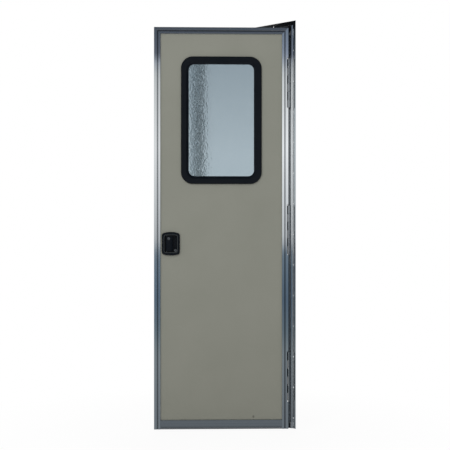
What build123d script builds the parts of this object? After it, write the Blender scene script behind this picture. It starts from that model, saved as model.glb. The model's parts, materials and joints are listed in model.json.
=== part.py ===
"""Caravan entry door: an edge-trimmed leaf hung on three hinges in a screw frame.

Millimetres. X runs along the wall to the hinge side, Y runs into the caravan and Z runs up.
The wall's outer face is Y = 0 and the foot of the frame is Z = 0, midway between the jambs.
The leaf is drawn shut and is swung open about its hinge pins when it is written.
"""

import os

from build123d import *

os.makedirs("parts", exist_ok=True)

# Leaf, over its edge trim
leaf_width = 617.0
leaf_height = 1842.0
leaf_thickness = 38.0
rest_opening = 44.0  # degrees

# Edge trim of the leaf
edge_face = 30.0
edge_lip = 24.0
edge_front_wall = 5.0
edge_web_wall = 2.0
edge_back_wall = 2.0
edge_groove_middle = 16.5
edge_groove_width = 6.0
edge_groove_floor = 3.0
edge_groove_depth = 2.5
edge_round = 1.0
bottom_face = 44.0
bottom_nose = 5.0
bottom_rib = 3.5
bottom_rib_height = 1.2
bottom_slope = 3.0

# Screw frame
flange_width = 43.5
flange_wall = 2.0
flange_land = 21.0
flange_land_rise = 4.1
flange_slope = 4.4
flange_edge_width = 4.5
flange_edge_height = 1.5
flange_round = 1.2
jamb_depth = 38.0
jamb_wall = 2.5
stop_width = 18.0
threshold_height = 16.0
tread_groove_count = 4
tread_groove_pitch = 6.3
tread_groove_width = 2.4
tread_groove_depth = 1.0
screw_hole_radius = 2.5
screw_from_edge = 13.0
jamb_screw_count = 13
jamb_screw_from_foot = 48.0
jamb_screw_from_top = 137.5
head_screw_count = 4
head_screw_from_side = 131.5

# Seals
seal_height = 13.5
seal_width = 10.0
seal_wall = 1.8
seal_inset = 1.0

# Clearances between the leaf and the frame
lock_gap = 9.0
hinge_gap = 9.0
head_gap = 13.5
foot_gap = 5.0

# Hinges
hinge_rise = 12.0
hinge_setback = 3.0
hinge_offset = 4.5
hinge_length = 224.0
hinge_from_top = 254.0
hinge_from_foot = 238.0
knuckle_count = 6
knuckle_radius = 7.0
knuckle_gap = 1.5
pin_radius = 3.0
pin_fit = 0.15
pin_head = 2.0
hinge_plate = 2.0
hinge_plate_depth = 23.0
hinge_plate_inset = 1.0
hinge_notch = 5.0
hinge_notch_ends = 3.0

# Skins
outer_skin_wall = 1.5
inner_skin_wall = 3.0

# Window, measured over its outer ring
window_width = 370.0
window_height = 584.0
window_below_top = 134.0
window_radius = 54.0
ring_face = 35.5
ring_proud = 9.0
ring_inner_radius = 27.0
ring_round = 4.0
ring_bevel = 11.0
ring_bevel_depth = 3.0
ring_bead_width = 3.0
ring_bead_height = 0.8
sight_lip = 10.0
spigot_wall = 4.0
spigot_depth = 9.0
cutout_fit = 0.5
gasket_wall = 1.0
gasket_depth = 4.0
glass_thickness = 4.0
inner_ring_face = 25.0
inner_ring_proud = 6.0
inner_spigot_wall = 3.0

# Lock
lock_width = 82.6
lock_height = 107.4
lock_bow = 7.0
lock_radius = 13.0
lock_proud = 11.0
lock_round = 6.0
lock_cutout_fit = 0.5
lock_from_edge = 77.0
lock_above_foot = 850.0
cup_width = 59.0
cup_height = 78.0
cup_depth = 22.0
cup_wall = 3.0
cup_radius = 8.0
cup_side_wall = 4.0
cup_rim_width = 3.0
cup_rim_height = 1.2
cup_rim_round = 1.0
paddle_width = 31.0
paddle_height = 68.0
paddle_from_cup = 7.0
paddle_thickness = 8.0
paddle_sink = 3.0
paddle_round = 1.0
paddle_crown = 0.5
paddle_edge_drop = 2.7
paddle_wall = 1.9
paddle_pin_radius = 1.75
paddle_pin_fit = 0.2
cylinder_radius = 6.5
cylinder_proud = 2.5
cylinder_fit = 0.1
key_from_side = 12.5
key_from_top = 11.0
key_slot_width = 1.8
key_slot_length = 8.5
dead_bolt_margin = 1.5
case_height = 84.0
bolt_width = 12.0
bolt_height = 16.0
bolt_spacing = 34.0
bolt_proud = 3.0
bolt_fit = 0.5
strike_fit = 1.0
inside_plate_wall = 5.0
inside_plate_round = 1.5
inside_paddle_reach = 20.0
inside_paddle_neck = 12.0
inside_paddle_grip = 14.0
inside_paddle_height = 45.0
thumb_below_lock = 36.0
thumb_length = 19.5
thumb_width = 6.5
thumb_round = 2.0
thumb_reach = 7.5
strike_wall = 1.5
faceplate_wall = 1.5
strike_width = 20.0
strike_height = 96.0
strike_radius = 3.0

# Places that follow from the sizes
opening_width = leaf_width - 2 * edge_lip + lock_gap + hinge_gap
web_x = opening_width / 2
body_bottom = threshold_height + foot_gap
leaf_top = leaf_height
head_z = leaf_top - edge_lip + head_gap
frame_top = head_z + flange_width
frame_right = web_x + flange_width
leaf_right = web_x - hinge_gap + edge_lip
leaf_left = leaf_right - leaf_width
body_left = leaf_left + edge_lip
body_right = leaf_right - edge_lip
hinge_x = leaf_right + hinge_offset
land_front = -flange_wall - flange_land_rise
hinge_y = land_front - hinge_rise
leaf_front = hinge_y - hinge_setback
leaf_back = leaf_front + leaf_thickness
skin_face = leaf_front + edge_front_wall
core_front = skin_face + outer_skin_wall
core_back = leaf_back - edge_back_wall - inner_skin_wall
lining_face = leaf_back - edge_back_wall
panel_left = body_left + edge_web_wall
panel_right = body_right - edge_web_wall
panel_bottom = body_bottom + edge_web_wall
panel_top = leaf_top - edge_lip - edge_web_wall
stop_front = jamb_depth - jamb_wall
hinge_axis = Axis((hinge_x, hinge_y, 0), (0, 0, 1))

window_x = (leaf_left + leaf_right) / 2
window_z = leaf_top - window_below_top - window_height / 2
sight_width = window_width - 2 * ring_face
sight_height = window_height - 2 * ring_face
bevel_width = sight_width + 2 * ring_bevel
bevel_height = sight_height + 2 * ring_bevel
bevel_radius = ring_inner_radius + ring_bevel
pocket_width = sight_width + 2 * sight_lip
pocket_height = sight_height + 2 * sight_lip
pocket_radius = ring_inner_radius + sight_lip
spigot_width = pocket_width + 2 * spigot_wall
spigot_height = pocket_height + 2 * spigot_wall
spigot_radius = pocket_radius + spigot_wall
cutout_width = spigot_width + 2 * cutout_fit
cutout_height = spigot_height + 2 * cutout_fit
inner_spigot_width = pocket_width - 2 * cutout_fit
inner_spigot_height = pocket_height - 2 * cutout_fit
inner_spigot_radius = pocket_radius - cutout_fit
gasket_front = skin_face + spigot_depth - glass_thickness - 3 * gasket_wall
glass_front = gasket_front + gasket_wall
glass_back = glass_front + glass_thickness
gasket_back = glass_back + gasket_wall

lock_x = leaf_left + lock_from_edge
lock_z = lock_above_foot
lock_front = skin_face - lock_proud
cup_floor = lock_front + cup_depth
housing_back = cup_floor + cup_wall
lock_body_width = cup_width + 2 * cup_side_wall
lock_body_height = cup_height + 2 * cup_side_wall
cup_left = lock_x - cup_width / 2
paddle_left = cup_left + paddle_from_cup
paddle_front = lock_front + paddle_sink
pivot_x = paddle_left + paddle_pin_radius + paddle_wall
pivot_y = paddle_front + paddle_thickness / 2
dead_x = cup_left + cup_width - cylinder_radius - dead_bolt_margin
dead_z = lock_z - cup_height / 2 + cylinder_radius + dead_bolt_margin
key_x = paddle_left + key_from_side
key_z = lock_z + paddle_height / 2 - key_from_top
bolt_y = (housing_back + core_back) / 2
bolt_levels = {"spring_bolt": lock_z + bolt_spacing / 2, "dead_bolt": lock_z - bolt_spacing / 2}
bolt_hole_height = bolt_height + 2 * strike_fit
bolt_slot_height = bolt_spacing + bolt_hole_height + 2 * strike_fit
bolt_hole_width = bolt_width + 2 * bolt_fit
strike_hole_width = bolt_width + 2 * strike_fit
lock_cutout_width = lock_body_width + 2 * lock_cutout_fit
lock_cutout_height = lock_body_height + 2 * lock_cutout_fit

screw_x = frame_right - screw_from_edge
jamb_screw_pitch = (frame_top - jamb_screw_from_foot - jamb_screw_from_top) / (jamb_screw_count - 1)
screw_rows = [jamb_screw_from_foot + row * jamb_screw_pitch for row in range(jamb_screw_count)]
head_screw_pitch = 2 * (frame_right - head_screw_from_side) / (head_screw_count - 1)
hinge_levels = {
    "top": leaf_top - hinge_from_top,
    "middle": (leaf_top - hinge_from_top + hinge_from_foot) / 2,
    "bottom": hinge_from_foot,
}

# Planes that the long sections are drawn on, x away from or into the opening and y inwards
hinge_side = Plane((web_x, 0, 0), x_dir=(1, 0, 0), z_dir=(0, 0, 1))
lock_side = Plane((-web_x, 0, frame_top), x_dir=(-1, 0, 0), z_dir=(0, 0, -1))
head_side = Plane((frame_right, 0, head_z), x_dir=(0, 0, 1), z_dir=(-1, 0, 0))
hinge_mitre = Plane((web_x, 0, head_z), z_dir=(-1, 0, 1))
lock_mitre = Plane((-web_x, 0, head_z), z_dir=(1, 0, 1))
lock_edge = Plane((leaf_left, leaf_front, 0), x_dir=(1, 0, 0), z_dir=(0, 0, 1))
hinge_edge = Plane((leaf_right, leaf_front, leaf_top), x_dir=(-1, 0, 0), z_dir=(0, 0, -1))
top_edge = Plane((leaf_left, leaf_front, leaf_top), x_dir=(0, 0, -1), z_dir=(1, 0, 0))
bottom_edge = Plane((leaf_right - edge_face, leaf_front, 0), x_dir=(0, 0, 1), z_dir=(-1, 0, 0))
lock_corner = Plane((leaf_left, 0, leaf_top), z_dir=(1, 0, 1))
hinge_corner = Plane((leaf_right, 0, leaf_top), z_dir=(-1, 0, 1))


def depth(y):
    """Upright plane at a depth, facing out of the caravan."""
    return Plane.XZ.offset(-y)


def lock_plane(y):
    """Upright plane at a depth, centred on the lock."""
    return Plane((lock_x, y, lock_z), x_dir=(1, 0, 0), z_dir=(0, -1, 0))


def frame_section(plane):
    """Raised land, slope, screw channel and edge bead of the flange, with its web and stop."""
    slope_end = flange_land + flange_slope
    edge_y = -flange_wall - flange_edge_height
    with BuildSketch(plane) as section:
        with BuildLine():
            Polyline(
                (flange_width, 0),
                (slope_end - flange_wall / 2, 0),
                (flange_land - flange_wall / 2, -flange_land_rise),
                (jamb_wall, -flange_land_rise),
                (jamb_wall, jamb_depth),
                (-stop_width, jamb_depth),
                (-stop_width, stop_front),
                (0, stop_front),
                (0, land_front),
                (flange_land, land_front),
                (slope_end, -flange_wall),
                (flange_width - flange_edge_width, -flange_wall),
                (flange_width - flange_edge_width, edge_y),
                (flange_width, edge_y),
                close=True,
            )
        make_face()
        land_corners, edge_corners = section.vertices().group_by(Axis.Y)[:2]
        fillet(land_corners + edge_corners, flange_round)
    return section.sketch


def seal_section(plane):
    """Hollow bulb standing on the front of the stop."""
    seal_middle = seal_inset + seal_width / 2 - stop_width
    shoulder = stop_front - seal_height + seal_width / 2
    inner_half = seal_width / 2 - seal_wall
    with BuildSketch(plane) as section:
        with BuildLine():
            Polyline(
                (seal_middle - seal_width / 2, shoulder),
                (seal_middle - seal_width / 2, stop_front),
                (seal_middle + seal_width / 2, stop_front),
                (seal_middle + seal_width / 2, shoulder),
            )
            ThreePointArc(
                (seal_middle + seal_width / 2, shoulder),
                (seal_middle, stop_front - seal_height),
                (seal_middle - seal_width / 2, shoulder),
            )
        make_face()
        with Locations((seal_middle, shoulder)):
            Circle(inner_half, mode=Mode.SUBTRACT)
    return section.sketch


def edge_section(plane):
    """Grooved face, overhanging lip, web and back flange of the leaf's edge trim."""
    groove_half = edge_groove_width / 2
    floor_half = edge_groove_floor / 2
    web_end = edge_lip + edge_web_wall
    back = leaf_thickness - edge_back_wall
    with BuildSketch(plane) as section:
        with BuildLine():
            Polyline(
                (edge_groove_middle - groove_half, 0),
                (edge_groove_middle - floor_half, edge_groove_depth),
                (edge_groove_middle + floor_half, edge_groove_depth),
                (edge_groove_middle + groove_half, 0),
                (edge_face, 0),
                (edge_face, edge_front_wall),
                (web_end, edge_front_wall),
                (web_end, back),
                (edge_face, back),
                (edge_face, leaf_thickness),
                (edge_lip, leaf_thickness),
                (edge_lip, edge_front_wall),
                (0, edge_front_wall),
                (0, 0),
                close=True,
            )
        make_face()
        fillet(section.vertices().group_by(Axis.Y)[0], edge_round)
    return section.sketch


def foot_notch(x):
    """Space taken out of a stile's foot, behind its face, so that it passes over the threshold."""
    with BuildSketch(Plane.XY) as notch:
        with Locations((x, (skin_face + leaf_back) / 2)):
            Rectangle(2 * edge_face, leaf_back - skin_face)
    return notch.sketch


def rounded(plane, width, height, radius):
    """Rounded rectangle about the window's centre."""
    with BuildSketch(plane) as outline:
        with Locations((window_x, window_z)):
            RectangleRounded(width, height, radius)
    return outline.sketch


def swung(part):
    """The part turned from shut to the opening that the leaf rests at."""
    return part.rotate(hinge_axis, rest_opening)


with BuildPart() as hinge_jamb:
    extrude(frame_section(hinge_side), amount=frame_top)
    split(bisect_by=hinge_mitre, keep=Keep.BOTTOM)
    with BuildSketch(Plane.XY):
        with Locations((web_x - stop_width / 2, stop_front + jamb_wall / 2)):
            Rectangle(stop_width, jamb_wall)
    extrude(amount=threshold_height, mode=Mode.SUBTRACT)
    with BuildSketch(Plane.XZ):
        with Locations([(screw_x, row) for row in screw_rows]):
            Circle(screw_hole_radius)
    extrude(amount=2 * flange_wall, both=True, mode=Mode.SUBTRACT)

with BuildPart() as lock_jamb:
    extrude(frame_section(lock_side), amount=frame_top)
    split(bisect_by=lock_mitre, keep=Keep.BOTTOM)
    with BuildSketch(Plane.XY):
        with Locations((stop_width / 2 - web_x, stop_front + jamb_wall / 2)):
            Rectangle(stop_width, jamb_wall)
    extrude(amount=threshold_height, mode=Mode.SUBTRACT)
    with BuildSketch(Plane.XZ):
        with Locations([(-screw_x, row) for row in screw_rows]):
            Circle(screw_hole_radius)
    extrude(amount=2 * flange_wall, both=True, mode=Mode.SUBTRACT)
    with BuildSketch(Plane.YZ.offset(-web_x)):
        with Locations((bolt_y, lock_z)):
            Rectangle(strike_hole_width, bolt_slot_height)
    extrude(amount=-jamb_wall, mode=Mode.SUBTRACT)

with BuildPart() as frame_head:
    extrude(frame_section(head_side), amount=2 * frame_right)
    split(bisect_by=hinge_mitre, keep=Keep.TOP)
    split(bisect_by=lock_mitre, keep=Keep.TOP)
    with BuildSketch(Plane.XZ):
        with Locations((0, frame_top - screw_from_edge)):
            with GridLocations(head_screw_pitch, 0, head_screw_count, 1):
                Circle(screw_hole_radius)
    extrude(amount=2 * flange_wall, both=True, mode=Mode.SUBTRACT)

with BuildPart() as threshold:
    with BuildSketch(Plane.YZ.offset(-web_x)):
        with BuildLine():
            Polyline(
                (-flange_wall, 0),
                (-flange_wall, threshold_height),
                (jamb_depth, threshold_height),
                (jamb_depth, 0),
                (stop_front, 0),
                (stop_front, threshold_height - jamb_wall),
                (0, threshold_height - jamb_wall),
                (0, 0),
                close=True,
            )
        make_face()
        with Locations((stop_front / 2, threshold_height)):
            with GridLocations(tread_groove_pitch, 0, tread_groove_count, 1):
                Rectangle(tread_groove_width, 2 * tread_groove_depth, mode=Mode.SUBTRACT)
    extrude(amount=opening_width)
    with BuildSketch(Plane.YZ.offset(stop_width - web_x)):
        with Locations((stop_front + jamb_wall / 2, threshold_height + stop_width / 2)):
            Rectangle(jamb_wall, stop_width)
    extrude(amount=opening_width - 2 * stop_width)

with BuildPart() as hinge_jamb_seal:
    extrude(seal_section(hinge_side), amount=frame_top)
    split(bisect_by=hinge_mitre, keep=Keep.BOTTOM)
    split(bisect_by=Plane.XY.offset(threshold_height), keep=Keep.TOP)

with BuildPart() as lock_jamb_seal:
    extrude(seal_section(lock_side), amount=frame_top)
    split(bisect_by=lock_mitre, keep=Keep.BOTTOM)
    split(bisect_by=Plane.XY.offset(threshold_height), keep=Keep.TOP)

with BuildPart() as head_seal:
    extrude(seal_section(head_side), amount=2 * frame_right)
    split(bisect_by=hinge_mitre, keep=Keep.TOP)
    split(bisect_by=lock_mitre, keep=Keep.TOP)

with BuildPart() as threshold_seal:
    foot_plane = Plane((stop_width - web_x, 0, threshold_height), x_dir=(0, 0, -1), z_dir=(1, 0, 0))
    extrude(seal_section(foot_plane), amount=opening_width - 2 * stop_width)

with BuildPart() as strike_plate:
    with BuildSketch(Plane.YZ.offset(-web_x)):
        with Locations((bolt_y, lock_z)):
            RectangleRounded(strike_width, strike_height, strike_radius)
            Rectangle(strike_hole_width, bolt_slot_height, mode=Mode.SUBTRACT)
    extrude(amount=strike_wall)

frame_parts = {
    "hinge_jamb": hinge_jamb,
    "lock_jamb": lock_jamb,
    "frame_head": frame_head,
    "threshold": threshold,
    "hinge_jamb_seal": hinge_jamb_seal,
    "lock_jamb_seal": lock_jamb_seal,
    "head_seal": head_seal,
    "threshold_seal": threshold_seal,
    "strike_plate": strike_plate,
}

with BuildPart() as lock_stile:
    extrude(edge_section(lock_edge), amount=leaf_height)
    split(bisect_by=lock_corner, keep=Keep.BOTTOM)
    extrude(foot_notch(leaf_left), amount=body_bottom, mode=Mode.SUBTRACT)
    with BuildSketch(Plane.YZ.offset(body_left)):
        with Locations((bolt_y, lock_z)):
            Rectangle(bolt_hole_width, bolt_slot_height)
    extrude(amount=edge_web_wall, mode=Mode.SUBTRACT)

with BuildPart() as hinge_stile:
    extrude(edge_section(hinge_edge), amount=leaf_height)
    split(bisect_by=hinge_corner, keep=Keep.BOTTOM)
    extrude(foot_notch(leaf_right), amount=body_bottom, mode=Mode.SUBTRACT)
    with BuildSketch(depth(skin_face)):
        with Locations([(leaf_right - hinge_notch / 2, level) for level in hinge_levels.values()]):
            Rectangle(hinge_notch, hinge_length + 2 * hinge_notch_ends)
    extrude(amount=edge_front_wall, mode=Mode.SUBTRACT)

with BuildPart() as top_rail:
    extrude(edge_section(top_edge), amount=leaf_width)
    split(bisect_by=lock_corner, keep=Keep.TOP)
    split(bisect_by=hinge_corner, keep=Keep.TOP)

with BuildPart() as bottom_rail:
    with BuildSketch(bottom_edge) as rail_section:
        with BuildLine():
            Polyline(
                (0, edge_groove_depth),
                (bottom_nose, bottom_rib_height),
                (bottom_nose, 0),
                (bottom_nose + bottom_rib, 0),
                (bottom_nose + bottom_rib, bottom_rib_height),
                (bottom_face - bottom_slope, bottom_rib_height),
                (bottom_face, edge_front_wall),
                (body_bottom + edge_web_wall, edge_front_wall),
                (body_bottom + edge_web_wall, leaf_thickness - edge_back_wall),
                (bottom_face, leaf_thickness - edge_back_wall),
                (bottom_face, leaf_thickness),
                (body_bottom, leaf_thickness),
                (body_bottom, edge_front_wall),
                (0, edge_front_wall),
                close=True,
            )
        make_face()
        fillet(rail_section.vertices().group_by(Axis.Y)[0], bottom_rib_height / 2)
    extrude(amount=leaf_width - 2 * edge_face)

with BuildPart() as outer_skin:
    with BuildSketch(depth(core_front)):
        with Locations(((panel_left + panel_right) / 2, (panel_bottom + panel_top) / 2)):
            Rectangle(panel_right - panel_left, panel_top - panel_bottom)
        with Locations((window_x, window_z)):
            RectangleRounded(cutout_width, cutout_height, spigot_radius, mode=Mode.SUBTRACT)
        with Locations((lock_x, lock_z)):
            Rectangle(lock_cutout_width, lock_cutout_height, mode=Mode.SUBTRACT)
    extrude(amount=outer_skin_wall)

with BuildPart() as panel_core:
    with BuildSketch(depth(core_back)):
        with Locations(((panel_left + panel_right) / 2, (panel_bottom + panel_top) / 2)):
            Rectangle(panel_right - panel_left, panel_top - panel_bottom)
        with Locations((window_x, window_z)):
            RectangleRounded(cutout_width, cutout_height, spigot_radius, mode=Mode.SUBTRACT)
        with Locations((lock_x, lock_z)):
            Rectangle(lock_cutout_width, lock_cutout_height, mode=Mode.SUBTRACT)
    extrude(amount=core_back - core_front)
    with BuildSketch(Plane.YZ.offset(panel_left)):
        with Locations((bolt_y, lock_z)):
            Rectangle(bolt_hole_width, bolt_slot_height)
    extrude(amount=lock_x - lock_body_width / 2 - panel_left, mode=Mode.SUBTRACT)

with BuildPart() as inner_skin:
    with BuildSketch(depth(lining_face)):
        with Locations(((panel_left + panel_right) / 2, (panel_bottom + panel_top) / 2)):
            Rectangle(panel_right - panel_left, panel_top - panel_bottom)
        with Locations((window_x, window_z)):
            RectangleRounded(cutout_width, cutout_height, spigot_radius, mode=Mode.SUBTRACT)
        with Locations((lock_x, lock_z)):
            Rectangle(lock_cutout_width, lock_cutout_height, mode=Mode.SUBTRACT)
    extrude(amount=inner_skin_wall)

with BuildPart() as window_ring:
    extrude(rounded(depth(skin_face), window_width, window_height, window_radius), amount=ring_proud)
    front_edges = window_ring.faces().sort_by(Axis.Y)[0].edges()
    fillet(front_edges, ring_round)
    extrude(
        rounded(depth(skin_face + spigot_depth), spigot_width, spigot_height, spigot_radius),
        amount=spigot_depth,
    )
    extrude(
        rounded(depth(skin_face - ring_proud), sight_width, sight_height, ring_inner_radius),
        amount=-ring_proud - spigot_depth,
        mode=Mode.SUBTRACT,
    )
    extrude(
        rounded(depth(gasket_front), pocket_width, pocket_height, pocket_radius),
        amount=gasket_front - skin_face - spigot_depth,
        mode=Mode.SUBTRACT,
    )
    sight_edges = window_ring.faces().sort_by(Axis.Y)[0].inner_wires().edges()
    chamfer(sight_edges, ring_bevel, ring_bevel_depth)
    with BuildSketch(depth(skin_face - ring_proud)):
        with Locations((window_x, window_z)):
            RectangleRounded(
                bevel_width + 2 * ring_bead_width,
                bevel_height + 2 * ring_bead_width,
                bevel_radius + ring_bead_width,
            )
            RectangleRounded(bevel_width, bevel_height, bevel_radius, mode=Mode.SUBTRACT)
    extrude(amount=ring_bead_height)
    bead_edges = window_ring.faces().sort_by(Axis.Y)[0].edges()
    fillet(bead_edges, ring_bead_height / 2)

with BuildPart() as glazing_gasket:
    extrude(
        rounded(depth(gasket_back), pocket_width, pocket_height, pocket_radius),
        amount=gasket_back - gasket_front,
    )
    extrude(
        rounded(
            depth(gasket_back),
            pocket_width - 2 * gasket_depth - 2 * gasket_wall,
            pocket_height - 2 * gasket_depth - 2 * gasket_wall,
            pocket_radius - gasket_depth - gasket_wall,
        ),
        amount=gasket_back - gasket_front,
        mode=Mode.SUBTRACT,
    )
    extrude(
        rounded(
            depth(glass_back),
            pocket_width - 2 * gasket_wall,
            pocket_height - 2 * gasket_wall,
            pocket_radius - gasket_wall,
        ),
        amount=glass_thickness,
        mode=Mode.SUBTRACT,
    )

with BuildPart() as window_glass:
    extrude(
        rounded(
            depth(glass_back),
            pocket_width - 2 * gasket_wall,
            pocket_height - 2 * gasket_wall,
            pocket_radius - gasket_wall,
        ),
        amount=glass_thickness,
    )

with BuildPart() as inner_ring:
    inner_ring_width = sight_width + 2 * inner_ring_face
    inner_ring_height = sight_height + 2 * inner_ring_face
    extrude(
        rounded(
            depth(lining_face + inner_ring_proud),
            inner_ring_width,
            inner_ring_height,
            ring_inner_radius + inner_ring_face,
        ),
        amount=inner_ring_proud,
    )
    back_edges = inner_ring.faces().sort_by(Axis.Y)[-1].edges()
    fillet(back_edges, ring_round)
    extrude(
        rounded(depth(lining_face), inner_spigot_width, inner_spigot_height, inner_spigot_radius),
        amount=lining_face - gasket_back,
    )
    extrude(
        rounded(
            depth(lining_face + inner_ring_proud),
            inner_spigot_width - 2 * inner_spigot_wall,
            inner_spigot_height - 2 * inner_spigot_wall,
            inner_spigot_radius - inner_spigot_wall,
        ),
        amount=lining_face + inner_ring_proud - gasket_back,
        mode=Mode.SUBTRACT,
    )

with BuildPart() as lock_housing:
    with BuildSketch(lock_plane(skin_face)) as plate_outline:
        half_width = lock_width / 2
        half_height = lock_height / 2
        side_height = half_height - lock_bow
        with BuildLine():
            Line((-half_width, -side_height), (-half_width, side_height))
            ThreePointArc((-half_width, side_height), (0, half_height), (half_width, side_height))
            Line((half_width, side_height), (half_width, -side_height))
            ThreePointArc((half_width, -side_height), (0, -half_height), (-half_width, -side_height))
        make_face()
        fillet(plate_outline.vertices(), lock_radius)
    extrude(amount=lock_proud)
    rim_edges = lock_housing.faces().sort_by(Axis.Y)[0].edges()
    fillet(rim_edges, lock_round)
    with BuildSketch(lock_plane(housing_back)):
        RectangleRounded(lock_body_width, lock_body_height, cup_radius)
    extrude(amount=housing_back - skin_face)
    with BuildSketch(lock_plane(cup_floor)):
        RectangleRounded(cup_width, cup_height, cup_radius)
    extrude(amount=cup_depth, mode=Mode.SUBTRACT)
    with BuildSketch(lock_plane(lock_front)):
        RectangleRounded(
            cup_width + 2 * cup_rim_width,
            cup_height + 2 * cup_rim_width,
            cup_radius + cup_rim_width,
        )
        RectangleRounded(cup_width, cup_height, cup_radius, mode=Mode.SUBTRACT)
    extrude(amount=cup_rim_height)
    mouth_edges = lock_housing.faces().sort_by(Axis.Y)[0].edges()
    fillet(mouth_edges, cup_rim_round)
    with BuildSketch(Plane.XY.offset(lock_z)):
        with Locations((pivot_x, pivot_y)):
            Circle(paddle_pin_radius)
    extrude(amount=cup_height / 2 + cup_side_wall / 2, both=True, mode=Mode.SUBTRACT)

with BuildPart() as paddle_pin:
    with BuildSketch(Plane.XY.offset(lock_z)):
        with Locations((pivot_x, pivot_y)):
            Circle(paddle_pin_radius)
    extrude(amount=cup_height / 2 + cup_side_wall / 2, both=True)

with BuildPart() as paddle:
    with BuildSketch(Plane.XY.offset(lock_z)):
        with Locations((pivot_x, pivot_y)):
            Circle(paddle_pin_radius + paddle_wall)
        with BuildLine():
            paddle_back = paddle_front + paddle_thickness
            pull_edge = paddle_left + paddle_width
            Polyline((pivot_x, paddle_front), (pivot_x, paddle_back), (pull_edge, paddle_back))
            Line((pull_edge, paddle_back), (pull_edge, paddle_front + paddle_edge_drop))
            ThreePointArc(
                (pull_edge, paddle_front + paddle_edge_drop),
                ((pivot_x + pull_edge) / 2, paddle_front + paddle_crown),
                (pivot_x, paddle_front),
            )
        make_face()
        with Locations((pivot_x, pivot_y)):
            Circle(paddle_pin_radius + paddle_pin_fit, mode=Mode.SUBTRACT)
    extrude(amount=paddle_height / 2, both=True)
    end_edges = paddle.edges().filter_by(Axis.Z).sort_by(Axis.X)[-2:]
    fillet(end_edges, paddle_round)
    with BuildSketch(depth(paddle_front - cylinder_proud)):
        with Locations((key_x, key_z)):
            Circle(cylinder_radius + cylinder_fit)
    extrude(amount=-paddle_thickness - cylinder_proud, mode=Mode.SUBTRACT)

with BuildPart() as paddle_cylinder:
    with BuildSketch(depth(paddle_front + paddle_thickness)):
        with Locations((key_x, key_z)):
            Circle(cylinder_radius)
    extrude(amount=paddle_thickness + cylinder_proud)
    with BuildSketch(depth(paddle_front - cylinder_proud)):
        with Locations((key_x, key_z)):
            Rectangle(key_slot_width, key_slot_length)
    extrude(amount=-cylinder_proud, mode=Mode.SUBTRACT)

with BuildPart() as dead_bolt_cylinder:
    with BuildSketch(depth(cup_floor)):
        with Locations((dead_x, dead_z)):
            Circle(cylinder_radius)
    extrude(amount=cup_depth - paddle_sink)
    with BuildSketch(depth(lock_front + paddle_sink)):
        with Locations((dead_x, dead_z)):
            Rectangle(key_slot_width, key_slot_length)
    extrude(amount=-cylinder_proud, mode=Mode.SUBTRACT)

with BuildPart() as lock_case:
    with BuildSketch(lock_plane(lining_face)):
        Rectangle(lock_body_width, case_height)
    extrude(amount=lining_face - housing_back)

bolts = {}
for bolt_name, level in bolt_levels.items():
    with BuildPart() as bolt:
        with BuildSketch(Plane.YZ.offset(body_left - bolt_proud)):
            with Locations((bolt_y, level)):
                Rectangle(bolt_width, bolt_height)
        extrude(amount=lock_x - lock_body_width / 2 - body_left + bolt_proud)
    bolts[bolt_name] = bolt

with BuildPart() as lock_faceplate:
    with BuildSketch(Plane.YZ.offset(body_left)):
        with Locations((bolt_y, lock_z)):
            RectangleRounded(strike_width, strike_height, strike_radius)
        with Locations([(bolt_y, level) for level in bolt_levels.values()]):
            Rectangle(bolt_hole_width, bolt_hole_height, mode=Mode.SUBTRACT)
    extrude(amount=-faceplate_wall)

with BuildPart() as inside_plate:
    with BuildSketch(lock_plane(lining_face + inside_plate_wall)):
        RectangleRounded(lock_width, lock_height, lock_radius)
    extrude(amount=inside_plate_wall)
    inside_rim = inside_plate.faces().sort_by(Axis.Y)[-1].edges()
    fillet(inside_rim, inside_plate_round)

with BuildPart() as inside_paddle:
    inside_face = lining_face + inside_plate_wall
    with BuildSketch(Plane.XY.offset(lock_z)):
        with BuildLine():
            Polyline(
                (pivot_x, inside_face),
                (pivot_x + paddle_thickness, inside_face),
                (pivot_x + paddle_thickness * 2, inside_face + inside_paddle_neck),
                (pivot_x + paddle_width, inside_face + inside_paddle_grip),
                (pivot_x + paddle_width, inside_face + inside_paddle_reach),
                (pivot_x + paddle_thickness, inside_face + inside_paddle_reach),
                close=True,
            )
        make_face()
    extrude(amount=inside_paddle_height / 2, both=True)
    fillet(inside_paddle.edges().filter_by(Axis.Z), paddle_round)

with BuildPart() as thumb_turn:
    with BuildSketch(depth(lining_face + inside_plate_wall)):
        with Locations((lock_x, lock_z - thumb_below_lock)):
            Circle(cylinder_radius)
    extrude(amount=-cylinder_proud)
    with BuildSketch(depth(lining_face + inside_plate_wall + cylinder_proud)):
        with Locations((lock_x, lock_z - thumb_below_lock)):
            RectangleRounded(thumb_length, thumb_width, thumb_round)
    extrude(amount=-thumb_reach)

leaf_parts = {
    "lock_stile": lock_stile,
    "hinge_stile": hinge_stile,
    "top_rail": top_rail,
    "bottom_rail": bottom_rail,
    "outer_skin": outer_skin,
    "panel_core": panel_core,
    "inner_skin": inner_skin,
    "window_ring": window_ring,
    "glazing_gasket": glazing_gasket,
    "window_glass": window_glass,
    "inner_window_ring": inner_ring,
    "lock_housing": lock_housing,
    "paddle_pin": paddle_pin,
    "paddle": paddle,
    "paddle_cylinder": paddle_cylinder,
    "dead_bolt_cylinder": dead_bolt_cylinder,
    "lock_case": lock_case,
    "lock_faceplate": lock_faceplate,
    "inside_plate": inside_plate,
    "inside_paddle": inside_paddle,
    "thumb_turn": thumb_turn,
    **bolts,
}

knuckle_pitch = hinge_length / knuckle_count
door_plate_y = skin_face + hinge_plate_inset
arm_root = knuckle_radius / 2**0.5  # on the barrel, midway between its side and its back

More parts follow.
